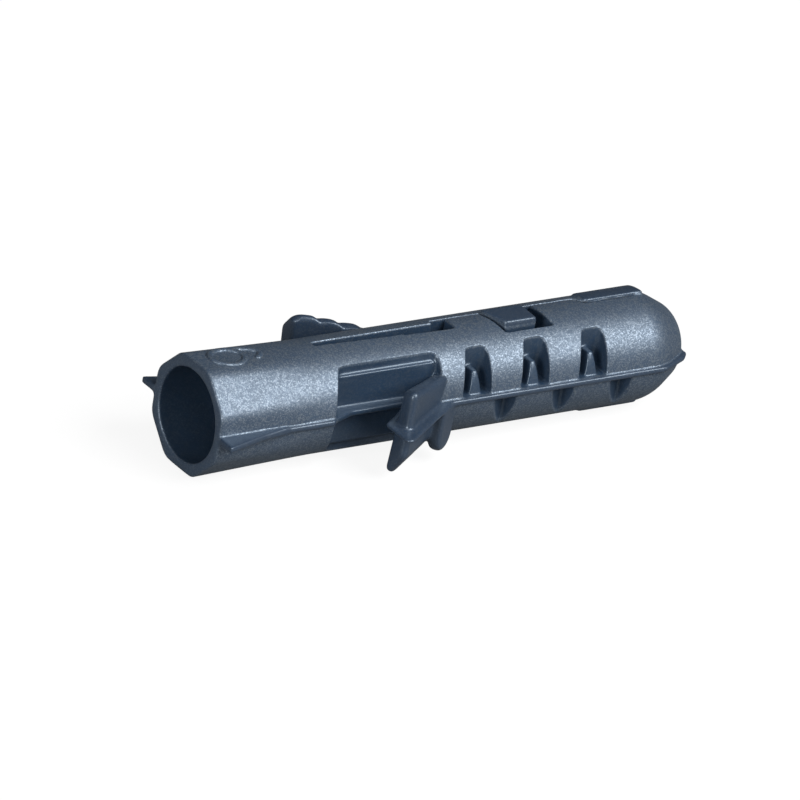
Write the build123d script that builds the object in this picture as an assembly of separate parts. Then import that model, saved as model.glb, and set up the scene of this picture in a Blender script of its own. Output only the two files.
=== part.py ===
"""Nylon wall plug for a 6 mm hole, moulded in one piece.

X runs along the axis from the mouth to the nose, and the origin is on the axis at the mouth. The
mould parts on the plane z = 0 and opens along Z, so every recess is a shape drawn in plan and
carried straight up or down. The near side is -Y. The plug lies on the raised tooth of its underside
and on the lowest flat of its mouth.
"""
import os
from math import atan, cos, degrees, hypot, radians, sin, tan

from build123d import *

# Body and nose
LENGTH = 30.0
BODY_DIA = 5.85
NOSE_TAPER = 2.15
NOSE_ANGLE = 30.0
NOSE_ROUND = 1.4
NOSE_FOOT_ROUND = 3.0

# Mouth: eight flats on a slight cone, which run out into the round body
MOUTH_ACROSS_FLATS = 5.98
MOUTH_CORNER_ROUND = 1.1
MOUTH_LENGTH = 6.8
FLAT_COUNT = 8

# Bore: wide for the shank of the screw, narrow where its thread spreads the halves
BORE_DIA = 4.9
BORE_DEPTH = 4.2
CORE_DIA = 2.4
CORE_START = 7.0
NOSE_WALL = 1.6

# Parting ridge, and the two fins at the mouth
RIDGE_REACH = 0.2
RIDGE_THICKNESS = 0.3
NIB_REACH = 0.45
FIN_REACH = 1.2
FIN_LENGTH = 4.2
FIN_THICKNESS = 0.4

# Windows, one each side, that the wings fold into
WINDOW_START = 7.15
WINDOW_LENGTH = 6.6
WINDOW_LEAN = 0.6
WINDOW_FLOOR = 1.65
WINDOW_CORNER = 0.35
LEDGE_REACH = 0.78
STEP_REACH = 0.2
STEP_HEIGHT = 1.9

# Wings: the near one is sprung further out, and the far one sits nearer the mouth
NEAR_WING_ANGLE = 33.0
NEAR_WING_LEAN = 0.38
NEAR_WING_DROP = 2.9
NEAR_OUTER_BOTTOM = 1.45
FAR_WING_ANGLE = 29.0
FAR_WING_LEAN = 0.35
FAR_WING_DROP = 2.52
FAR_OUTER_BOTTOM = 1.5
FAR_OFFSET = -1.1
WING_LENGTH = 4.3
WING_THICKNESS = 0.85
WING_ROOT = 0.25
WING_TRIM = 0.55
WING_END_OUTER_TOP = 2.25
WING_END_RAKE = 0.045
WING_END_INNER_TOP = 2.0
WING_ROOT_OUTER_TOP = 1.5
WING_ROOT_INNER_TOP = 1.2
WING_ROUND = 0.25
LOBE_COUNT = 3
LOBE_START = 0.72
LOBE_PITCH = 1.1
LOBE_DEPTH = 0.3
LOBE_FALL = 0.19
FLANGE_THICKNESS = 0.22
FLANGE_REACH = 0.55
FLANGE_TIP_REACH = 0.65
FLANGE_ROUND = 0.3
HEEL_START = -0.3
HEEL_LENGTH = 1.8
HEEL_THICKNESS = 0.7
HEEL_DROP = 2.45
HEEL_ROUND = 0.85
HEEL_EDGE_ROUND = 0.2

# Grip pockets behind the wings, and the notches between them in the other half of the mould
POCKET_START = 15.0
POCKET_PITCH = 3.65
POCKET_COUNT = 3
POCKET_WIDTH = 1.8
POCKET_LEAN = 0.6
POCKET_FLOOR = 1.7
POCKET_CORNER = 0.28
RIB_WIDTH = 0.85
RIB_TOP_WIDTH = 0.3
RIB_HEIGHT = 1.35
RIB_INSET = 0.18
NOTCH_OFFSET = 2.05
NOTCH_WIDTH = 1.6
NOTCH_LEAN = 1.15
NOTCH_FLOOR = 2.1

# Split between the halves: teeth of each half reach across it
SLIT_END = 27.4
SLIT_GAP = 0.1
WEDGE_START = 7.2
WEDGE_END = 14.75
WEDGE_REACH = 0.25
WEDGE_START_WIDTH = 0.35
WEDGE_END_WIDTH = 0.7
LOW_TOOTH_START = 15.7
LOW_TOOTH_END = 17.8
LOW_TOOTH_REACH = 0.5
HIGH_TOOTH_START = 18.4
HIGH_TOOTH_END = 20.4
HIGH_TOOTH_REACH = 1.05
TOOTH_RISE = 0.18
TOOTH_POCKET_LENGTH = 1.0
TOOTH_POCKET_LEAN = 0.35
BACK_TOOTH_END = 23.7
BACK_TOOTH_REACH = 0.5
LAST_TOOTH_START = 24.2
LAST_TOOTH_REACH = 0.05
PAD_HEIGHT = 0.14
PAD_WIDTH = 1.2

# Space left round every cut so that it breaks the surface cleanly
CLEAR = 1.0

BODY_R = BODY_DIA / 2
NOSE_START = LENGTH - NOSE_TAPER
NOSE_END_R = BODY_R - NOSE_TAPER * tan(radians(NOSE_ANGLE))
WINDOW_END = WINDOW_START + WINDOW_LENGTH
SPLIT_FLOOR = CORE_DIA / 4
WING_SEAT = WINDOW_FLOOR + STEP_REACH
OUTSIDE = BODY_R + CLEAR


def nearest(face, x, y):
    """The corner of a plan shape that lies nearest to a point."""
    return min(face.vertices(), key=lambda v: hypot(v.X - x, v.Y - y))


def polar(radius, turn):
    """Point at a radius and an angle in degrees."""
    return radius * cos(radians(turn)), radius * sin(radians(turn))


def skin(radius):
    """A round bar of the body's length."""
    return Pos(LENGTH / 2, 0, 0) * Rot(0, 90, 0) * Cylinder(radius, LENGTH)


def plan_solid(points, z_from, z_to, rounded=(), radius=0.0):
    """A shape drawn in plan, with some corners rounded, carried from one height to another."""
    face = make_face(Polyline(*points, close=True))
    if radius:
        face = fillet([nearest(face, x, y) for x, y in rounded], radius)
    return Pos(0, 0, z_from) * extrude(face, z_to - z_from)


def opposite(solid):
    """The same shape on the opposite side: half a turn about the axis."""
    return Rot(180, 0, 0) * solid


def shank():
    """Round body and nose, turned about the axis."""
    outline = Polyline(
        (MOUTH_LENGTH, 0),
        (MOUTH_LENGTH, BODY_R),
        (NOSE_START, BODY_R),
        (LENGTH, NOSE_END_R),
        (LENGTH, 0),
        close=True,
    )
    face = fillet(nearest(make_face(outline), LENGTH, NOSE_END_R), NOSE_ROUND)
    return revolve(fillet(nearest(face, NOSE_START, BODY_R), NOSE_FOOT_ROUND), Axis.X)


def mouth():
    """Mouth end: flats with rounded corners between them that run out into the round body."""
    half_turn = 180 / FLAT_COUNT
    flat_r = MOUTH_ACROSS_FLATS / 2
    half_flat = degrees(atan(tan(radians(half_turn)) * (1 - MOUTH_CORNER_ROUND / flat_r)))
    edge_r = flat_r / cos(radians(half_flat))
    corner_r = (flat_r - MOUTH_CORNER_ROUND) / cos(radians(half_turn)) + MOUTH_CORNER_ROUND
    rim, ring = [], []
    for k in range(FLAT_COUNT):
        middle = 2 * half_turn * k
        corner = middle + half_turn
        flat = [polar(edge_r, middle - half_flat), polar(edge_r, middle + half_flat)]
        bend = [flat[1], polar(corner_r, corner), polar(edge_r, corner + half_turn - half_flat)]
        rim += [Line(*flat), ThreePointArc(*bend)]
        turns = (middle - half_flat, middle, middle + half_flat, corner, corner + half_turn - half_flat)
        arcs = [polar(BODY_R, turn) for turn in turns]
        ring += [ThreePointArc(*arcs[:3]), ThreePointArc(*arcs[2:])]
    ends = [Plane.YZ * make_face(rim), Plane.YZ.offset(MOUTH_LENGTH) * make_face(ring)]
    return loft(ends, ruled=True)


def bore():
    """Screw hole: a wide bore, a taper and a core hole with a coned end."""
    core_end = LENGTH - NOSE_WALL
    outline = Polyline(
        (-CLEAR, 0),
        (-CLEAR, BORE_DIA / 2),
        (BORE_DEPTH, BORE_DIA / 2),
        (CORE_START, CORE_DIA / 2),
        (core_end - CORE_DIA / 2, CORE_DIA / 2),
        (core_end, 0),
        close=True,
    )
    return revolve(make_face(outline), Axis.X)


def ridge():
    """Parting ridge along the near side, from the mouth fin to the nib on the nose."""
    low = -WINDOW_FLOOR
    side = -BODY_R - RIDGE_REACH
    nose = -NOSE_END_R - RIDGE_REACH
    points = [
        (CLEAR, low),
        (CLEAR, side),
        (NOSE_START, side),
        (LENGTH - NIB_REACH, nose - NIB_REACH),
        (LENGTH, nose),
        (LENGTH - NIB_REACH, -NOSE_END_R / 2),
        (LENGTH - NIB_REACH, low),
    ]
    half = RIDGE_THICKNESS / 2
    return plan_solid(points, -half, half)


def mouth_fin():
    """Near fin that keeps the plug from turning, widest at the mouth."""
    low = -BORE_DIA / 2
    side = -BODY_R - RIDGE_REACH
    knee = side - (FIN_REACH - RIDGE_REACH) * 0.3
    points = [
        (0, low),
        (0, -BODY_R - FIN_REACH),
        (FIN_LENGTH * 0.6, knee),
        (FIN_LENGTH, side),
        (FIN_LENGTH, low),
    ]
    half = FIN_THICKNESS / 2
    return plan_solid(points, -half, half)


def window():
    """Near window, open from top to bottom."""
    lean = WINDOW_LEAN / (BODY_R - WINDOW_FLOOR)
    points = [
        (WINDOW_START - lean * CLEAR, -OUTSIDE),
        (WINDOW_START + WINDOW_LEAN, -WINDOW_FLOOR),
        (WINDOW_END, -WINDOW_FLOOR),
        (WINDOW_END, -OUTSIDE),
    ]
    return plan_solid(points, -OUTSIDE, OUTSIDE, points[1:3], WINDOW_CORNER)


def window_step():
    """Slight step on the floor of the near window, which leaves its upper and lower edges thin."""
    low = -CORE_DIA / 2 - RIDGE_THICKNESS
    start = WINDOW_START + WINDOW_LEAN / 2
    points = [(start, low), (start, -WINDOW_FLOOR - STEP_REACH)]
    points += [(WINDOW_END, -WINDOW_FLOOR - STEP_REACH), (WINDOW_END, low)]
    return plan_solid(points, -STEP_HEIGHT, STEP_HEIGHT)


def window_ledge():
    """Thin ledge on the floor of the near window, on the parting plane."""
    low = -CORE_DIA / 2 - RIDGE_THICKNESS
    reach = -WINDOW_FLOOR - LEDGE_REACH
    points = [
        (WINDOW_START, low),
        (WINDOW_START, -BODY_R),
        (WINDOW_START + WINDOW_LEAN + LEDGE_REACH, reach),
        (WINDOW_END, reach),
        (WINDOW_END, low),
    ]
    half = RIDGE_THICKNESS / 2
    return plan_solid(points, -half, half)


def lobe_cut(tip, drop):
    """Everything below the lobed lower edge of a wing, whose lobes lose height from its tip on."""
    low = -drop - WING_TRIM - CLEAR
    start = (tip + LOBE_START - LOBE_PITCH / 2, LOBE_DEPTH - drop)
    line = [Polyline((tip - CLEAR, low), (tip - CLEAR, start[1]), start)]
    for k in range(LOBE_COUNT):
        middle = tip + LOBE_START + LOBE_PITCH * k
        peak = LOBE_FALL * k - drop
        end = (middle + LOBE_PITCH / 2, peak + LOBE_DEPTH)
        line.append(ThreePointArc(start, (middle, peak), end))
        start = end
    root = start[0] + WING_LENGTH
    line.append(Polyline(start, (root, start[1]), (root, low), (tip - CLEAR, low)))
    return extrude(Plane.XZ * make_face(line), 3 * BODY_R, both=True)


def wing(angle, lean, drop, outer_bottom):
    """Near wing, hinged on the far end of its window and swung out by an angle.

    Its free end rakes away from the hinge towards its foot. The outer face stands higher and the
    inner face hangs lower, with lobes along its edge. A flange on the parting plane runs round it.
    """
    inner_bottom = drop + WING_TRIM
    free_end = WINDOW_END - WING_LENGTH * cos(radians(angle))
    tip = free_end - WING_END_RAKE * (WING_END_OUTER_TOP + drop)
    root = WINDOW_END + WING_ROOT

    def side_at(x, outward):
        """Where a line along the wing, so far outward of its inner face, stands at x."""
        return -WING_SEAT - outward / cos(radians(angle)) - (WINDOW_END - x) * tan(radians(angle))

    def section(x, rake, inner_top, outer_top):
        """Cross-section of the blade, whose foot lies further from the hinge by the rake."""
        corners = []
        for outward, shift, z in (
            (0, lean, -inner_bottom),
            (WING_THICKNESS, 0, -outer_bottom),
            (WING_THICKNESS, 0, outer_top),
            (0, 0, inner_top),
        ):
            place = x - rake * (outer_top - z)
            corners.append((place, side_at(place, outward) + shift, z))
        return make_face(Polyline(*corners, close=True))

    hinge_end = section(root, 0, WING_ROOT_INNER_TOP, WING_ROOT_OUTER_TOP)
    sprung_end = section(free_end, WING_END_RAKE, WING_END_INNER_TOP, WING_END_OUTER_TOP)
    blade = loft([hinge_end, sprung_end], ruled=True)
    blade = fillet(blade.edges(), WING_ROUND) - lobe_cut(tip, drop)

    half = FLANGE_THICKNESS / 2
    side = WING_THICKNESS + FLANGE_REACH
    end = root + FLANGE_REACH
    start = free_end - FLANGE_TIP_REACH
    corners = ((end, -FLANGE_REACH), (start, -FLANGE_REACH), (start, side), (end, side))
    rim = [(x, side_at(x, outward)) for x, outward in corners]
    return blade + plan_solid(rim, -half, half, rim[1:3], FLANGE_ROUND)


def heel():
    """Rounded tongue that hangs below the flange of the near wing, beside its hinge."""
    angle = radians(NEAR_WING_ANGLE)
    along = Vector(-cos(angle), -sin(angle))
    outward = Vector(sin(angle), -cos(angle))
    root = Vector(WINDOW_END, -WING_SEAT) + outward * (WING_THICKNESS + FLANGE_REACH)
    near, far, top = HEEL_START, HEEL_START + HEEL_LENGTH, -FLANGE_THICKNESS / 2
    face = make_face(Polyline((near, top), (far, top), (far, -HEEL_DROP), (near, -HEEL_DROP), close=True))
    face = fillet([nearest(face, near, -HEEL_DROP), nearest(face, far, -HEEL_DROP)], HEEL_ROUND)
    tongue = extrude(Plane(origin=root, x_dir=along, z_dir=-outward) * face, HEEL_THICKNESS)
    edges = tongue.edges().filter_by(Axis((0, 0, 0), outward), reverse=True)
    return fillet(edges.sort_by(Axis.Z)[:-2], HEEL_EDGE_ROUND)


def pocket(start):
    """Grip pocket cut into the near side from above, with a narrowing rib left standing."""
    lean = POCKET_LEAN / (BODY_R - POCKET_FLOOR)
    end = start + POCKET_WIDTH
    points = [
        (start - lean * CLEAR, -OUTSIDE),
        (start + POCKET_LEAN, -POCKET_FLOOR),
        (end, -POCKET_FLOOR),
        (end, -OUTSIDE),
    ]
    cut = plan_solid(points, RIDGE_THICKNESS / 2, OUTSIDE, points[1:3], POCKET_CORNER)
    middle = start + POCKET_WIDTH / 2
    left, right = middle - RIB_WIDTH / 2, middle + RIB_WIDTH / 2
    top_half = RIB_TOP_WIDTH / 2
    top = [(middle + top_half, RIB_HEIGHT), (middle - top_half, RIB_HEIGHT)]
    rib = make_face(Polyline((left, 0), (right, 0), *top, close=True))
    rib = extrude(Plane.XZ * rib, BODY_R) & skin(BODY_R - RIB_INSET)
    return cut - rib


def notch(start):
    """Three-sided notch cut into the near side from below."""
    lean = NOTCH_LEAN / (BODY_R - NOTCH_FLOOR)
    end = start + NOTCH_WIDTH
    points = [
        (start - lean * CLEAR, -OUTSIDE),
        (start + NOTCH_LEAN, -NOTCH_FLOOR),
        (end - RIDGE_THICKNESS, -NOTCH_FLOOR),
        (end + lean * RIDGE_THICKNESS / 2, -OUTSIDE),
    ]
    return plan_solid(points, -OUTSIDE, -RIDGE_THICKNESS / 2)


def split():
    """Split along the top, from the core hole out, as it winds round the teeth of both halves."""
    low = LOW_TOOTH_REACH
    back = BACK_TOOTH_REACH
    high = -HIGH_TOOTH_REACH
    pocket_end = HIGH_TOOTH_END + TOOTH_POCKET_LENGTH
    gap = SLIT_GAP
    wedge_low = WEDGE_REACH - WEDGE_END_WIDTH
    wedge = [
        (WEDGE_START, WEDGE_REACH),
        (WEDGE_END, WEDGE_REACH),
        (WEDGE_END, wedge_low),
        (WEDGE_START, WEDGE_REACH - WEDGE_START_WIDTH),
    ]
    step = [
        (WEDGE_END, wedge_low),
        (WEDGE_END, low + gap),
        (LOW_TOOTH_START, low + gap),
        (LOW_TOOTH_START, wedge_low),
    ]
    over_low = [
        (LOW_TOOTH_START, low),
        (LOW_TOOTH_START, low + gap),
        (LOW_TOOTH_END + gap, low + gap),
        (HIGH_TOOTH_START + gap, high),
        (HIGH_TOOTH_END, high),
        (HIGH_TOOTH_END, back + gap),
        (BACK_TOOTH_END + gap, back + gap),
        (LAST_TOOTH_START + gap, -LAST_TOOTH_REACH),
        (SLIT_END, -LAST_TOOTH_REACH),
        (SLIT_END, -LAST_TOOTH_REACH - gap),
        (LAST_TOOTH_START, -LAST_TOOTH_REACH - gap),
        (BACK_TOOTH_END, back),
        (pocket_end - TOOTH_POCKET_LEAN, back),
        (pocket_end, high - 2 * gap),
        (HIGH_TOOTH_START, high - 2 * gap),
        (LOW_TOOTH_END, low),
    ]
    return [plan_solid(points, SPLIT_FLOOR, OUTSIDE) for points in (wedge, step, over_low)]


def high_tooth():
    """Tooth of the far half that crosses the top of the near half, with a flat square top."""
    points = [
        (LOW_TOOTH_END + SLIT_GAP, LOW_TOOTH_REACH),
        (HIGH_TOOTH_START + SLIT_GAP, -HIGH_TOOTH_REACH),
        (HIGH_TOOTH_END, -HIGH_TOOTH_REACH),
        (HIGH_TOOTH_END, LOW_TOOTH_REACH),
    ]
    return plan_solid(points, CORE_DIA, BODY_R + TOOTH_RISE)


def last_pad():
    """Raised pad that the last tooth of the far half carries as far as the nose."""
    points = [
        (LAST_TOOTH_START, -LAST_TOOTH_REACH),
        (NOSE_START, -LAST_TOOTH_REACH),
        (NOSE_START, PAD_WIDTH - LAST_TOOTH_REACH),
        (LAST_TOOTH_START, PAD_WIDTH - LAST_TOOTH_REACH),
    ]
    return plan_solid(points, CORE_DIA, OUTSIDE) & skin(BODY_R + PAD_HEIGHT)


def both_sides(shape):
    """A shape of the near side together with its twin on the far side."""
    return [shape, opposite(shape)]


def build():
    """The whole moulding, as it lies in the mould."""
    far_side = Pos(FAR_OFFSET, 0, 0) * Rot(180, 0, 0)
    plug = shank() + mouth()
    for piece in (ridge(), mouth_fin(), last_pad(), high_tooth()):
        plug += both_sides(piece)
    plug -= bore()
    plug -= [window(), far_side * window()]
    for k in range(POCKET_COUNT):
        start = POCKET_START + k * POCKET_PITCH
        plug -= both_sides(pocket(start)) + both_sides(notch(start + NOTCH_OFFSET))
    for cut in split():
        plug -= both_sides(cut)
    for piece in (window_ledge(), window_step()):
        plug += [piece, far_side * piece]
    near_wing = wing(NEAR_WING_ANGLE, NEAR_WING_LEAN, NEAR_WING_DROP, NEAR_OUTER_BOTTOM)
    far_wing = wing(FAR_WING_ANGLE, FAR_WING_LEAN, FAR_WING_DROP, FAR_OUTER_BOTTOM)
    plug += [near_wing + heel(), far_side * far_wing]
    return plug


os.makedirs("parts", exist_ok=True)
export_step(build(), "parts/plug_body.step")
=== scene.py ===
"""Looks of a nylon wall plug: its moulded body, the raised figure at its mouth and the stage."""
from math import cos, pi, radians, sin, tan

import bmesh
import bpy
import numpy as np
from bpy.props import FloatProperty, FloatVectorProperty, IntProperty, PointerProperty
from mathutils import Euler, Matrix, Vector


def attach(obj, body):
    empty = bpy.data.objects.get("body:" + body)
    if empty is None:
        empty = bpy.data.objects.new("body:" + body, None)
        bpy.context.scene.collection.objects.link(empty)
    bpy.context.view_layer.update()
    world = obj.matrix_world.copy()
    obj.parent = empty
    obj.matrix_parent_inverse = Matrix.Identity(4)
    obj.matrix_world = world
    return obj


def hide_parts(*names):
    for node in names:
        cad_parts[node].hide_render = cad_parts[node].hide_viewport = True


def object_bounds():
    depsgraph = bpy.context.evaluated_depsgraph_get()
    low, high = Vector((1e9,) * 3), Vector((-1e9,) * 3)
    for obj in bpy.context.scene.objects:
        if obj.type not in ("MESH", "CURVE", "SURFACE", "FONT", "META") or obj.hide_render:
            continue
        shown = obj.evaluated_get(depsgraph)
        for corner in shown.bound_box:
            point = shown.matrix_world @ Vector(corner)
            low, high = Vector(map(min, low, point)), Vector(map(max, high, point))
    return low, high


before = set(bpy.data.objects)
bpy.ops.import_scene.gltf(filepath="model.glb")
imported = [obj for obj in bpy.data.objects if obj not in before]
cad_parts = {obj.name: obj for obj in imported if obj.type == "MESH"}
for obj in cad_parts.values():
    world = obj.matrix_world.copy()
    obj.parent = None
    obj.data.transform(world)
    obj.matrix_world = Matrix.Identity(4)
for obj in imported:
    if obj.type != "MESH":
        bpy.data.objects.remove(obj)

bl_info = {
    "name": "Nylon Wall Plug",
    "version": (1, 0, 0),
    "blender": (4, 5, 0),
    "location": "3D View > Sidebar > Wall Plug",
    "description": "Finishes a moulded nylon wall plug and sets it on a plain stage",
    "category": "Object",
}

NODE = "plug_body"
BODY = "root"
MM = 0.001
FLAT_COUNT = 8
CAD_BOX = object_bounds()

# Shares of one easing pass: the move towards the neighbours, and the smaller one back out.
EASE_SHARES = (0.5, -0.38)
# Heights above the skin, in millimetres, over which a recess, painted darker as shade, turns into
# skin.
RECESS_FADE = (-0.14, -0.05)
# Heights above the skin, in millimetres, over which skin turns into what stands out.
PROUD_FADE = (0.04, 0.12)
# Distances from the mouth over which the skin turns into the mouth face.
FACE_FADE = (0.06 * MM, 0.02 * MM)
# Lighter and darker clouds in the pigment: how many to a metre, and the range and start of shade.
CLOUD_SCALE = 900
CLOUD_RANGE, CLOUD_START = 0.3, 0.85


class PlugSizes(bpy.types.PropertyGroup):
    """Sizes of the moulding and of the figure on it."""

    body_radius: FloatProperty(
        name="Body radius",
        description="Radius of the round part of the body",
        default=2.925 * MM,
        unit="LENGTH",
        precision=6,
    )
    flat_radius: FloatProperty(
        name="Flat distance",
        description="Distance from the axis to the flats at the mouth",
        default=2.99 * MM,
        unit="LENGTH",
        precision=6,
    )
    corner_round: FloatProperty(
        name="Corner round",
        description="Radius of the corners between the flats",
        default=1.1 * MM,
        unit="LENGTH",
        precision=6,
    )
    mouth_length: FloatProperty(
        name="Mouth length",
        description="How far the flats run before the body is round",
        default=6.8 * MM,
        unit="LENGTH",
        precision=6,
    )
    length: FloatProperty(
        name="Length",
        description="Length of the plug from the mouth to the end of the nose",
        default=30.0 * MM,
        unit="LENGTH",
        precision=6,
    )
    nose_start: FloatProperty(
        name="Nose start",
        description="Distance from the mouth to the foot of the nose cone",
        default=27.85 * MM,
        unit="LENGTH",
        precision=6,
    )
    nose_angle: FloatProperty(
        name="Nose angle",
        description="Slope of the nose cone against the axis",
        default=radians(30),
        subtype="ANGLE",
    )
    nose_foot_round: FloatProperty(
        name="Nose foot round",
        description="Radius between the round body and the nose cone",
        default=3.0 * MM,
        unit="LENGTH",
        precision=6,
    )
    nose_round: FloatProperty(
        name="Nose round",
        description="Radius of the blunt end of the nose",
        default=1.4 * MM,
        unit="LENGTH",
        precision=6,
    )
    grid: FloatProperty(
        name="Surface grid",
        description="Grid on which the edges of the moulding are softened",
        default=0.05 * MM,
        unit="LENGTH",
        precision=6,
    )
    edge_passes: IntProperty(
        name="Edge passes",
        description="How often the edges are eased, which rounds them further",
        default=45,
        min=0,
    )
    proud_passes: IntProperty(
        name="Proud passes",
        description="How often the edges of wings, teeth and the mouth are eased once more",
        default=70,
        min=0,
    )
    proud_height: FloatProperty(
        name="Proud height",
        description="Height above the skin from which an edge is eased once more",
        default=0.14 * MM,
        unit="LENGTH",
        precision=6,
    )
    mouth_edge: FloatProperty(
        name="Mouth edge",
        description="Distance from the mouth up to which the edges are eased once more",
        default=0.5 * MM,
        unit="LENGTH",
        precision=6,
    )
    skin_depth: FloatProperty(
        name="Skin depth",
        description="How near the true skin a point lies that is settled onto it",
        default=0.015 * MM,
        unit="LENGTH",
        precision=6,
    )
    triangles: IntProperty(
        name="Triangles",
        description="Triangles that the body keeps before its long edges are split",
        default=105000,
    )
    longest_edge: FloatProperty(
        name="Longest edge",
        description="Length over which an edge of the body is split",
        default=1.0 * MM,
        unit="LENGTH",
        precision=6,
    )
    figure_start: FloatProperty(
        name="Figure start",
        description="Distance from the mouth to the foot of the figure",
        default=0.85 * MM,
        unit="LENGTH",
        precision=6,
    )
    figure_height: FloatProperty(
        name="Figure height",
        description="Height of the figure, along the body",
        default=3.2 * MM,
        unit="LENGTH",
        precision=6,
    )
    figure_width: FloatProperty(
        name="Figure width",
        description="Width of the figure, round the body",
        default=1.85 * MM,
        unit="LENGTH",
        precision=6,
    )
    bowl_share: FloatProperty(
        name="Bowl share",
        description="Height of the bowl of the figure against its width",
        default=1.25,
    )
    figure_turn: FloatProperty(
        name="Figure turn",
        description="Place of the figure round the body, from the far side over the top",
        default=radians(90),
        subtype="ANGLE",
    )
    stroke: FloatProperty(
        name="Stroke width",
        description="Width of the strokes of the figure",
        default=0.34 * MM,
        unit="LENGTH",
        precision=6,
    )
    raise_height: FloatProperty(
        name="Stroke height",
        description="How far the strokes stand out of the skin",
        default=0.12 * MM,
        unit="LENGTH",
        precision=6,
    )


class PlugFinish(bpy.types.PropertyGroup):
    """Colours and grain of the nylon."""

    skin_colour: FloatVectorProperty(
        name="Skin",
        description="Colour of the grained outer skin",
        subtype="COLOR",
        size=4,
        default=(0.029, 0.05, 0.085, 1),
    )
    # The recess colour is darker than the skin: painted shade in windows and pockets, on their
    # smooth walls.
    recess_painted_shade_colour: FloatVectorProperty(
        name="Recesses",
        description="Colour of the smooth walls of windows and pockets",
        subtype="COLOR",
        size=4,
        default=(0.013, 0.031, 0.062, 1),
    )
    wing_colour: FloatVectorProperty(
        name="Wings",
        description="Colour of the wings, fins and other parts that stand out",
        subtype="COLOR",
        size=4,
        default=(0.019, 0.035, 0.064, 1),
    )
    flake_colour: FloatVectorProperty(
        name="Flakes",
        description="Colour of the fine metal flakes in the skin",
        subtype="COLOR",
        size=4,
        default=(0.4, 0.46, 0.52, 1),
    )
    flake_size: FloatProperty(
        name="Flake size",
        description="Size of the bright flakes in the nylon",
        default=0.06 * MM,
        unit="LENGTH",
        precision=6,
    )
    sheen: FloatProperty(
        name="Flake share",
        description="How far the flakes shine like metal",
        default=0.65,
        subtype="FACTOR",
        min=0,
        max=1,
    )
    flake_rest: FloatProperty(
        name="Flakes elsewhere",
        description="Strength of the flakes off the skin, against that on it",
        default=0.5,
        subtype="FACTOR",
        min=0,
        max=1,
    )
    glint: FloatProperty(
        name="Glint",
        description="How far the brightest flakes take the flake colour",
        default=0.4,
        subtype="FACTOR",
        min=0,
        max=1,
    )
    gloss: FloatProperty(
        name="Index of refraction",
        description="How strongly the pigmented nylon mirrors light",
        default=1.74,
        min=1,
        max=3,
    )
    gloss_tint: FloatVectorProperty(
        name="Gloss tint",
        description="Colour that the nylon gives to what it mirrors",
        subtype="COLOR",
        size=4,
        default=(0.81, 0.92, 1, 1),
    )
    roughness: FloatProperty(
        name="Roughness",
        description="Roughness of the smooth walls and wings",
        default=0.37,
        subtype="FACTOR",
        min=0,
        max=1,
    )
    roughness_spread: FloatProperty(
        name="Roughness spread",
        description="How much rougher the skin is, and how much smoother a bright flake",
        default=0.1,
        min=0,
        max=0.3,
    )
    grain_depth: FloatProperty(
        name="Grain depth",
        description="Depth of the grain in the surface",
        default=0.02 * MM,
        unit="LENGTH",
        precision=6,
    )
    skin_grain: FloatProperty(
        name="Skin grain",
        description="Strength of the grain that the skin has on top of the faint one",
        default=0.5,
        subtype="FACTOR",
        min=0,
        max=1,
    )
    face_smoothness: FloatProperty(
        name="Face smoothness",
        description="Share of the skin's finish that the mouth face lacks",
        default=0.7,
        subtype="FACTOR",
        min=0,
        max=1,
    )
    faint_grain: FloatProperty(
        name="Faint grain",
        description="Strength of the grain on every surface",
        default=0.08,
        subtype="FACTOR",
        min=0,
        max=1,
    )


class PlugStage(bpy.types.PropertyGroup):
    """Camera, lamps and floor."""

    view_turn: FloatVectorProperty(
        name="Camera turn",
        description="Angles of the camera about X, Y and Z",
        subtype="EULER",
        default=(radians(63.981), radians(-9.123), radians(-34.601)),
    )
    view_centre: FloatVectorProperty(
        name="View centre",
        description="Point in the middle of the picture",
        subtype="TRANSLATION",
        unit="LENGTH",
        precision=6,
        default=(13.612 * MM, 0.303 * MM, -1.327 * MM),
    )
    view_distance: FloatProperty(
        name="Camera distance",
        description="Distance from the camera to the view centre",
        default=521.9 * MM,
        unit="LENGTH",
    )
    lens: FloatProperty(
        name="Lens",
        description="Focal length of the camera in millimetres",
        default=462.8,
        unit="CAMERA",
    )
    key_power: FloatProperty(
        name="Key power",
        description="Power of the large soft lamp on the near side, in watts",
        default=4.0,
        unit="POWER",
    )
    fill_power: FloatProperty(
        name="Fill power",
        description="Power of the low lamp before the mouth, in watts",
        default=2.2,
        unit="POWER",
    )
    top_power: FloatProperty(
        name="Top power",
        description="Power of the high lamp before the mouth, in watts",
        default=0.5,
        unit="POWER",
    )
    world_level: FloatProperty(
        name="Surroundings",
        description="Brightness of the light from all round",
        default=0.05,
    )
    floor_width: FloatProperty(
        name="Floor width",
        description="Width of the square floor",
        default=3.0,
        unit="LENGTH",
    )
    floor_colour: FloatVectorProperty(
        name="Floor",
        description="Colour by which the floor takes light and shadow",
        subtype="COLOR",
        size=4,
        default=(0.1, 0.1, 0.1, 1),
    )
    floor_glow: FloatProperty(
        name="Floor glow",
        description="How much the camera sees the floor brighter than it is lit",
        default=0.89,
    )
    floor_gloss: FloatProperty(
        name="Floor in gloss",
        description="Share of the floor glow that shows in what mirrors the floor or is clear",
        default=0.06,
        subtype="FACTOR",
        min=0,
        max=1,
    )


def sizes():
    """The sizes set in the panel."""
    return bpy.context.scene.plug_sizes


def new_piece(name, mesh, material):
    """A finished piece of the plug that takes the nylon slot."""
    piece = bpy.data.objects.new(name, mesh)
    bpy.context.scene.collection.objects.link(piece)
    mesh.materials.clear()
    mesh.materials.append(material)
    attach(piece, BODY)
    return piece


def mesh_points(mesh):
    """Corner points of a mesh as an array."""
    points = np.empty(len(mesh.vertices) * 3, np.float32)
    mesh.vertices.foreach_get("co", points)
    return points.reshape(-1, 3).astype(float)


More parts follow.
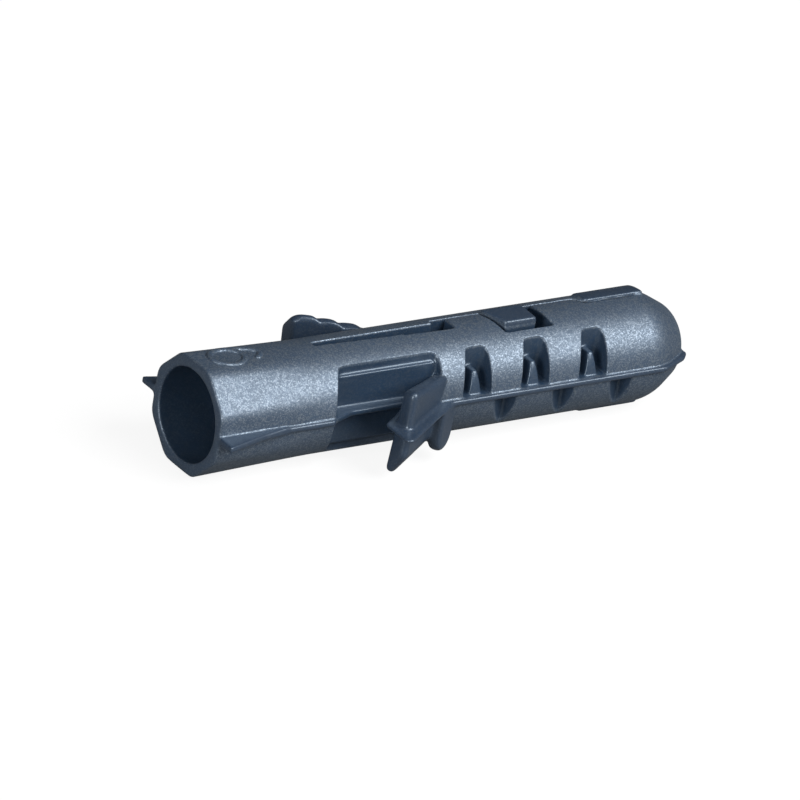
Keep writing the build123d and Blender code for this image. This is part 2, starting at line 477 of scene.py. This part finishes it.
def skin_radius(x, turn):
    """Radius of the outer skin at a distance from the mouth, in a direction round the axis.

    At the mouth the section is a polygon with rounded corners. It fades evenly into a circle over
    the mouth length. At the foot of the nose the radius falls along an arc that runs into the slope
    of the cone, and a smaller arc turns the cone into the flat end.
    """
    size = sizes()
    step = 2 * pi / FLAT_COUNT
    from_middle = np.abs((turn + step / 2) % step - step / 2)
    from_corner = step / 2 - from_middle
    centre = (size.flat_radius - size.corner_round) / cos(step / 2)
    half_flat = np.arctan(tan(step / 2) * (1 - size.corner_round / size.flat_radius))
    inside = np.maximum(size.corner_round**2 - (centre * np.sin(from_corner)) ** 2, 0)
    corner = centre * np.cos(from_corner) + np.sqrt(inside)
    polygon = np.where(from_middle < half_flat, size.flat_radius / np.cos(from_middle), corner)
    share = np.clip(x / size.mouth_length, 0, 1)
    bar = (1 - share) * polygon + share * size.body_radius
    run = size.nose_foot_round * tan(size.nose_angle / 2)
    along = np.clip(x - size.nose_start + run, 0, size.nose_foot_round * sin(size.nose_angle))
    arc = size.nose_foot_round - np.sqrt(size.nose_foot_round**2 - along**2)
    cone = np.maximum(x - size.nose_start + run - along, 0) * tan(size.nose_angle)

    end = size.nose_round
    middle = size.length - end
    end_radius = size.body_radius - (size.length - size.nose_start) * tan(size.nose_angle)
    end_radius -= end * tan((pi / 2 - size.nose_angle) / 2)
    blunt = end_radius + np.sqrt(np.clip(end**2 - (x - middle) ** 2, 0, None))
    return np.where(x > middle + end * sin(size.nose_angle), blunt, bar - arc - cone)


def eased(points, edges, passes, weight=1.0):
    """Points drawn towards the middle of their neighbours and pushed most of the way back.

    One pass moves each point by half of its distance to the mean of its neighbours, and then out
    by a smaller share of the new distance. This rounds edges and keeps most of a thin wall's
    depth. A weight for each point lowers both moves.
    """
    count = len(points)
    ends = np.concatenate([edges[:, 0], edges[:, 1]])
    others = np.concatenate([edges[:, 1], edges[:, 0]])
    valence = np.bincount(ends, minlength=count)[:, None]
    for share in EASE_SHARES * passes:
        total = [np.bincount(ends, points[others, axis], count) for axis in range(3)]
        points = points + share * weight * (np.stack(total, axis=1) / valence - points)
    return points


def skin_height(points):
    """Height of points above the outer skin, along their radius."""
    turn = np.arctan2(points[:, 2], points[:, 1])
    return np.hypot(points[:, 1], points[:, 2]) - skin_radius(points[:, 0], turn)


def skin_share(points):
    """1 for points on the outer skin, falling to 0 over a small depth on both sides of it."""
    return np.clip(2 - np.abs(skin_height(points)) / sizes().skin_depth, 0, 1)


def settled(points):
    """Points near the outer skin, moved along their radius onto it, ever less further away."""
    scale = 1 - skin_height(points) * skin_share(points) / np.hypot(points[:, 1], points[:, 2])
    return points * np.stack([np.ones_like(scale), scale, scale], axis=1)


def skin_normals(points):
    """Outward normals of the outer skin under each point.

    The radius is compared a short step to both sides, along the axis and round it. The normal
    leans back from the radius by these two slopes.
    """
    step = sizes().grid / 2
    x, radius = points[:, 0], np.hypot(points[:, 1], points[:, 2])
    turn = np.arctan2(points[:, 2], points[:, 1])
    along = (skin_radius(x + step, turn) - skin_radius(x - step, turn)) / (2 * step)
    angle = step / radius
    round_it = (skin_radius(x, turn + angle) - skin_radius(x, turn - angle)) / (2 * step)
    cosine, sine = np.cos(turn), np.sin(turn)
    normals = np.stack([-along, cosine + round_it * sine, sine - round_it * cosine], axis=1)
    return normals / np.linalg.norm(normals, axis=1)[:, None]


def finish_skin(mesh):
    """Settles a mesh on the skin, shades it as the true skin there, and stores its relief.

    The skin's own normal is taken where the mesh's normal is like it, in full where the cosine
    between them is 0.98 or more and not at all where it is under 0.93. The relief is the height
    above the nearest of the skin, the end of the nose and the mouth face, in millimetres. The
    material tells skin, recesses and what stands out by it.
    """
    least_cosine, cosine_range = 0.93, 0.05
    points = np.clip(settled(mesh_points(mesh)), *np.array(CAD_BOX))
    mesh.vertices.foreach_set("co", points.astype(np.float32).ravel())
    mesh.update()
    own = np.empty(len(points) * 3, np.float32)
    mesh.vertex_normals.foreach_get("vector", own)
    own = own.reshape(-1, 3)
    true = skin_normals(points)
    alike = np.clip((np.sum(own * true, axis=1) - least_cosine) / cosine_range, 0, 1)
    share = (skin_share(points) * alike)[:, None]
    mesh.shade_smooth()
    mesh.normals_split_custom_set_from_vertices(((1 - share) * own + share * true).tolist())

    x = points[:, 0]
    height = np.maximum(np.maximum(skin_height(points), x - sizes().length), -x)
    layer = mesh.attributes.new("relief", "FLOAT", "POINT")
    layer.data.foreach_set("value", (height / MM).astype(np.float32))


def evaluated(piece):
    """Mesh of a piece with its modifiers applied."""
    graph = bpy.context.evaluated_depsgraph_get()
    return bpy.data.meshes.new_from_object(piece.evaluated_get(graph))


def softened_body():
    """Copy of the moulding with the small rounds that a mould leaves on every edge.

    It is laid on an even grid and eased. What stands out of the skin is eased once more, in full
    from twice the proud height, and so is the mouth. Then the grid is thinned to fewer triangles.
    """
    size = sizes()
    shape = bmesh.new()
    shape.from_mesh(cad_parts[NODE].data)
    bmesh.ops.remove_doubles(shape, verts=shape.verts, dist=1e-3 * MM)
    # In metres the grid would be finer than the remesh takes, so the copy is put in millimetres.
    bmesh.ops.scale(shape, vec=Vector((1, 1, 1)) / MM, verts=shape.verts)
    mesh = bpy.data.meshes.new("moulded_plug")
    shape.to_mesh(mesh)
    shape.free()
    work = bpy.data.objects.new("moulded_plug_work", mesh)
    bpy.context.scene.collection.objects.link(work)
    remesh = work.modifiers.new("Even grid", "REMESH")
    remesh.mode = "VOXEL"
    remesh.voxel_size = size.grid / MM
    even = evaluated(work)
    work.modifiers.clear()

    edges = np.empty(len(even.edges) * 2, np.int32)
    even.edges.foreach_get("vertices", edges)
    edges = edges.reshape(-1, 2)
    points = eased(mesh_points(even) * MM, edges, size.edge_passes)
    stands_out = np.clip(skin_height(points) / size.proud_height - 1, 0, 1)
    at_mouth = np.clip(1 - points[:, 0] / size.mouth_edge, 0, 1)
    weight = np.maximum(stands_out, at_mouth)[:, None]
    points = settled(eased(points, edges, size.proud_passes, weight))
    even.vertices.foreach_set("co", points.astype(np.float32).ravel())
    even.update()

    work.data = even
    thin = work.modifiers.new("Fewer triangles", "DECIMATE")
    thin.ratio = min(1, size.triangles / (2 * len(even.polygons)))
    finished = evaluated(work)
    bpy.data.objects.remove(work)
    finished.name = "moulded_plug"
    split_long_edges(finished)
    finish_skin(finished)
    return finished


def split_long_edges(mesh, rounds=4):
    """Halves every edge over the longest length, again and again, so that shading stays local."""
    shape = bmesh.new()
    shape.from_mesh(mesh)
    for _ in range(rounds):
        long_edges = [edge for edge in shape.edges if edge.calc_length() > sizes().longest_edge]
        if not long_edges:
            break
        bmesh.ops.subdivide_edges(shape, edges=long_edges, cuts=1)
        bmesh.ops.triangulate(shape, faces=[face for face in shape.faces if len(face.verts) > 3])
    shape.to_mesh(mesh)
    shape.free()


def figure_path(count):
    """Middle line of a 6: up along its height and across its width, from the middle of its bowl.

    The stem is part of a tall ellipse and the bowl a short one. They share their width and meet
    at the left, where both run straight down. The bowl goes round until it is back on the stem.
    The last value is half the height of the bowl.
    """
    size = sizes()
    half_width = (size.figure_width - size.stroke) / 2
    bowl = half_width * size.bowl_share
    stem = size.figure_height - size.stroke - bowl
    stem_tip, left, bowl_end = radians(48), pi, radians(520)
    stem_angle = np.linspace(stem_tip, left, count // 2, endpoint=False)
    bowl_angle = np.linspace(left, bowl_end, count)
    angle = np.concatenate([stem_angle, bowl_angle])
    height = np.concatenate([np.full(len(stem_angle), stem), np.full(len(bowl_angle), bowl)])
    return height * np.sin(angle), half_width * np.cos(angle), bowl


def figure_mesh(count=160, around=20):
    """Figure 6 as a rounded stroke laid on the skin.

    The first parameter runs along the middle line. The second runs round the section, an ellipse
    whose upper half stands above the skin. At both ends the section closes as a ball does.
    """
    size = sizes()
    up, across, bowl = figure_path(count)
    step_up, step_across = np.gradient(up), np.gradient(across)
    length = np.hypot(step_up, step_across)
    run = np.cumsum(length) - length[0]
    from_end = np.minimum(run, run[-1] - run)
    half = size.stroke / 2
    close = np.sqrt(np.clip(1 - (1 - np.clip(from_end / half, 0, 1)) ** 2, 0, 1))
    round_angle = np.linspace(0, 2 * pi, around, endpoint=False)
    side = (half * close)[:, None] * np.cos(round_angle)
    lift = (size.raise_height * close)[:, None] * np.sin(round_angle)
    grid_up = up[:, None] - side * (step_across / length)[:, None]
    grid_across = across[:, None] + side * (step_up / length)[:, None]
    x = size.figure_start + size.stroke / 2 + bowl + grid_up
    turn = size.figure_turn + grid_across / size.body_radius
    radius = skin_radius(x, turn) + lift
    points = np.stack([x, radius * np.cos(turn), radius * np.sin(turn)], axis=2)
    return closed_sweep("size_figure", points)


def closed_sweep(name, grid):
    """Mesh of a grid of points that is closed round its second way and capped at both ends."""
    rows, columns = grid.shape[:2]
    index = np.arange(rows * columns).reshape(rows, columns)
    after = np.roll(index, -1, axis=1)
    walls = np.stack([index[:-1], after[:-1], after[1:], index[1:]], axis=2).reshape(-1, 4)
    faces = walls.tolist() + [index[0, ::-1].tolist(), index[-1].tolist()]
    mesh = bpy.data.meshes.new(name)
    mesh.from_pydata(grid.reshape(-1, 3).tolist(), [], faces)
    shape = bmesh.new()
    shape.from_mesh(mesh)
    bmesh.ops.remove_doubles(shape, verts=shape.verts, dist=1e-4 * MM)
    bmesh.ops.recalc_face_normals(shape, faces=shape.faces)
    shape.to_mesh(mesh)
    shape.free()
    mesh.shade_smooth()
    return mesh


class Nodes:
    """Short calls that add and join the nodes of one material."""

    def __init__(self, name):
        self.material = bpy.data.materials.new(name)
        self.material.use_nodes = True
        self.tree = self.material.node_tree
        self.tree.nodes.clear()

    def add(self, kind, inputs=(), **settings):
        """New node with some settings. Each input is joined to a socket or set to a value."""
        node = self.tree.nodes.new(kind)
        for name, value in settings.items():
            setattr(node, name, value)
        for name, value in dict(inputs).items():
            if isinstance(value, bpy.types.NodeSocket):
                self.tree.links.new(value, node.inputs[name])
            else:
                node.inputs[name].default_value = value
        return node

    def math(self, operation, *values):
        """Result of one sum on numbers or sockets."""
        return self.add("ShaderNodeMath", enumerate(values), operation=operation).outputs[0]

    def fade(self, value, start, end):
        """0 where a value is at the start or before, 1 where it is at the end or after."""
        inputs = {"Value": value, "From Min": start, "From Max": end}
        return self.add("ShaderNodeMapRange", inputs, interpolation_type="SMOOTHSTEP").outputs[0]

    def mix(self, share, first, second):
        """Blend of two colours."""
        node = self.add("ShaderNodeMix", {0: share, 6: first, 7: second}, data_type="RGBA")
        return node.outputs[2]

    def output(self, shader):
        """Closes the material with its shader."""
        self.add("ShaderNodeOutputMaterial", {"Surface": shader})
        return self.material


def nylon():
    """Pigmented nylon: grained skin with fine flakes, smooth recesses painted darker as shade, and
    smooth wings.
    """
    if "plug_nylon" in bpy.data.materials:
        return bpy.data.materials["plug_nylon"]
    finish = bpy.context.scene.plug_finish
    nodes = Nodes("plug_nylon")
    place = nodes.add("ShaderNodeTexCoord").outputs["Object"]
    relief = nodes.add("ShaderNodeAttribute", attribute_name="relief").outputs["Fac"]
    from_mouth = nodes.add("ShaderNodeSeparateXYZ", {0: place}).outputs[0]

    # The skin is what is no recess and doesn't stand out. On the mouth face it has less finish.
    outer = nodes.fade(relief, *RECESS_FADE)
    proud = nodes.fade(relief, *PROUD_FADE)
    face = nodes.fade(from_mouth, *FACE_FADE)
    skin = nodes.math("MULTIPLY", outer, nodes.math("SUBTRACT", 1.0, proud))
    kept = nodes.math("MULTIPLY_ADD", face, -finish.face_smoothness, 1.0)
    skin = nodes.math("MULTIPLY", skin, kept)

    # The flakes are cells of chance brightness as small as the grain.
    fine = 1 / finish.flake_size
    grain = nodes.add(
        "ShaderNodeTexNoise", {"Vector": place, "Scale": fine, "Detail": 2.0, "Roughness": 0.6}
    ).outputs[0]
    cloud = nodes.add(
        "ShaderNodeTexNoise", {"Vector": place, "Scale": CLOUD_SCALE, "Detail": 2.0}
    ).outputs[0]
    cells = nodes.add("ShaderNodeTexVoronoi", {"Vector": place, "Scale": fine, "Randomness": 1.0})
    flake = nodes.add("ShaderNodeSeparateColor", {0: cells.outputs["Color"]}).outputs[0]
    rest = finish.flake_rest
    flake = nodes.math("MULTIPLY", flake, nodes.math("MULTIPLY_ADD", skin, 1 - rest, rest))

    # Recesses take a darker colour than the skin: painted shade in windows and pockets.
    base = nodes.mix(outer, tuple(finish.recess_painted_shade_colour), tuple(finish.skin_colour))
    base = nodes.mix(proud, base, tuple(finish.wing_colour))
    shade = nodes.math("MULTIPLY_ADD", cloud, CLOUD_RANGE, CLOUD_START)
    base = nodes.add("ShaderNodeVectorMath", {0: base, 3: shade}, operation="SCALE").outputs[0]
    glint = nodes.math("MULTIPLY", nodes.math("MULTIPLY", flake, flake), finish.glint)
    colour = nodes.mix(glint, base, tuple(finish.flake_colour))
    strength = nodes.math("MULTIPLY_ADD", skin, finish.skin_grain, finish.faint_grain)
    bump = nodes.add(
        "ShaderNodeBump", {"Strength": strength, "Distance": finish.grain_depth, "Height": grain}
    ).outputs[0]
    spread = finish.roughness_spread
    rough = nodes.math("MULTIPLY_ADD", skin, spread, finish.roughness)
    rough = nodes.math("MULTIPLY_ADD", flake, -spread, rough)
    shader = nodes.add(
        "ShaderNodeBsdfPrincipled",
        {
            "Base Color": colour,
            "Metallic": nodes.math("MULTIPLY", flake, finish.sheen),
            "Roughness": rough,
            "IOR": finish.gloss,
            "Specular Tint": tuple(finish.gloss_tint),
            "Normal": bump,
        },
    )
    return nodes.output(shader.outputs[0])


def floor_material():
    """Pale floor that looks white to the camera and keeps the shadow of the plug."""
    nodes = Nodes("pale_floor")
    stage = bpy.context.scene.plug_stage
    path = nodes.add("ShaderNodeLightPath").outputs
    mirrored = nodes.math("MAXIMUM", path["Is Glossy Ray"], path["Is Transmission Ray"])
    mirrored = nodes.math("MULTIPLY", mirrored, stage.floor_gloss)
    seen = nodes.math("MAXIMUM", path["Is Camera Ray"], mirrored)
    glow = nodes.math("MULTIPLY", seen, stage.floor_glow)
    shader = nodes.add(
        "ShaderNodeBsdfPrincipled",
        {
            "Base Color": tuple(stage.floor_colour),
            "Roughness": 0.7,
            "Emission Color": (1, 1, 1, 1),
            "Emission Strength": glow,
        },
    )
    return nodes.output(shader.outputs[0])


class PLUG_OT_body(bpy.types.Operator):
    """Makes the moulded body with softened edges and its nylon finish"""

    bl_idname = "plug.body"
    bl_label = "Moulded body"

    def execute(self, context):
        piece = new_piece("moulded_plug", softened_body(), nylon())
        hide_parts(NODE)
        return {"FINISHED"}


class PLUG_OT_figure(bpy.types.Operator):
    """Raises the size figure on the skin near the mouth"""

    bl_idname = "plug.figure"
    bl_label = "Size figure"

    def execute(self, context):
        new_piece("size_figure", figure_mesh(), nylon())
        return {"FINISHED"}


class PLUG_OT_stage(bpy.types.Operator):
    """Lays the floor, sets the lamps and the surroundings, and places the camera"""

    bl_idname = "plug.stage"
    bl_label = "Stage"

    def execute(self, context):
        lay_floor()
        set_lamps()
        place_camera()
        return {"FINISHED"}


class PLUG_PT_panel(bpy.types.Panel):
    """Lists the sizes, the finish and the steps"""

    bl_idname = "PLUG_PT_panel"
    bl_label = "Nylon Wall Plug"
    bl_space_type = "VIEW_3D"
    bl_region_type = "UI"
    bl_category = "Wall Plug"

    def draw(self, context):
        scene = context.scene
        for group in (scene.plug_sizes, scene.plug_finish, scene.plug_stage):
            box = self.layout.box()
            for name in group.__annotations__:
                box.prop(group, name)
        for operator in OPERATORS:
            self.layout.operator(operator.bl_idname)


def lay_floor():
    """Pale floor under the lowest point of the plug."""
    half = bpy.context.scene.plug_stage.floor_width / 2
    low = CAD_BOX[0][2]
    corners = [(-half, -half, low), (half, -half, low), (half, half, low), (-half, half, low)]
    mesh = bpy.data.meshes.new("floor")
    mesh.from_pydata(corners, [], [(0, 1, 2, 3)])
    mesh.materials.append(floor_material())
    floor = bpy.data.objects.new("floor", mesh)
    bpy.context.scene.collection.objects.link(floor)


def add_lamp(name, direction, distance, width, power):
    """Soft square lamp that shines on the middle of the plug from one direction."""
    light = bpy.data.lights.new(name, "AREA")
    light.shape = "SQUARE"
    light.size = width
    light.energy = power
    lamp = bpy.data.objects.new(name, light)
    bpy.context.scene.collection.objects.link(lamp)
    way = Vector(direction).normalized()
    lamp.location = Vector(bpy.context.scene.plug_stage.view_centre) + way * distance
    lamp.rotation_euler = way.to_track_quat("Z", "Y").to_euler()


def set_lamps():
    """A large soft lamp on the near side, two dim ones before the mouth, and a dim even light."""
    scene, stage = bpy.context.scene, bpy.context.scene.plug_stage
    add_lamp("key", (0.35, -0.629, 0.685), distance=0.5, width=0.36, power=stage.key_power)
    add_lamp("fill", (-0.9, -0.42, 0.25), distance=0.6, width=0.22, power=stage.fill_power)
    add_lamp("top", (-0.4, -0.25, 0.88), distance=0.6, width=0.2, power=stage.top_power)
    world = bpy.data.worlds.new("surroundings")
    world.use_nodes = True
    world.node_tree.nodes["Background"].inputs["Color"].default_value = (1, 1, 1, 1)
    world.node_tree.nodes["Background"].inputs["Strength"].default_value = stage.world_level
    scene.world = world
    scene.view_settings.view_transform = "Standard"


def place_camera():
    """Camera at the distance and angles from which the plug is seen."""
    scene, stage = bpy.context.scene, bpy.context.scene.plug_stage
    data = bpy.data.cameras.new("camera")
    data.lens = stage.lens
    data.sensor_width = 36
    camera = bpy.data.objects.new("camera", data)
    scene.collection.objects.link(camera)
    turn = Euler(stage.view_turn)
    camera.rotation_euler = turn
    back = turn.to_matrix() @ Vector((0, 0, 1))
    camera.location = Vector(stage.view_centre) + back * stage.view_distance
    scene.camera = camera


OPERATORS = (PLUG_OT_body, PLUG_OT_figure, PLUG_OT_stage)
GROUPS = {"plug_sizes": PlugSizes, "plug_finish": PlugFinish, "plug_stage": PlugStage}


def register():
    for name, group in GROUPS.items():
        bpy.utils.register_class(group)
        setattr(bpy.types.Scene, name, PointerProperty(type=group))
    for cls in (*OPERATORS, PLUG_PT_panel):
        bpy.utils.register_class(cls)


def unregister():
    for cls in (PLUG_PT_panel, *reversed(OPERATORS)):
        bpy.utils.unregister_class(cls)
    for name, group in GROUPS.items():
        delattr(bpy.types.Scene, name)
        bpy.utils.unregister_class(group)


def main():
    """Makes every piece and the stage."""
    register()
    bpy.ops.plug.body()
    bpy.ops.plug.figure()
    bpy.ops.plug.stage()


if __name__ == "__main__":
    main()
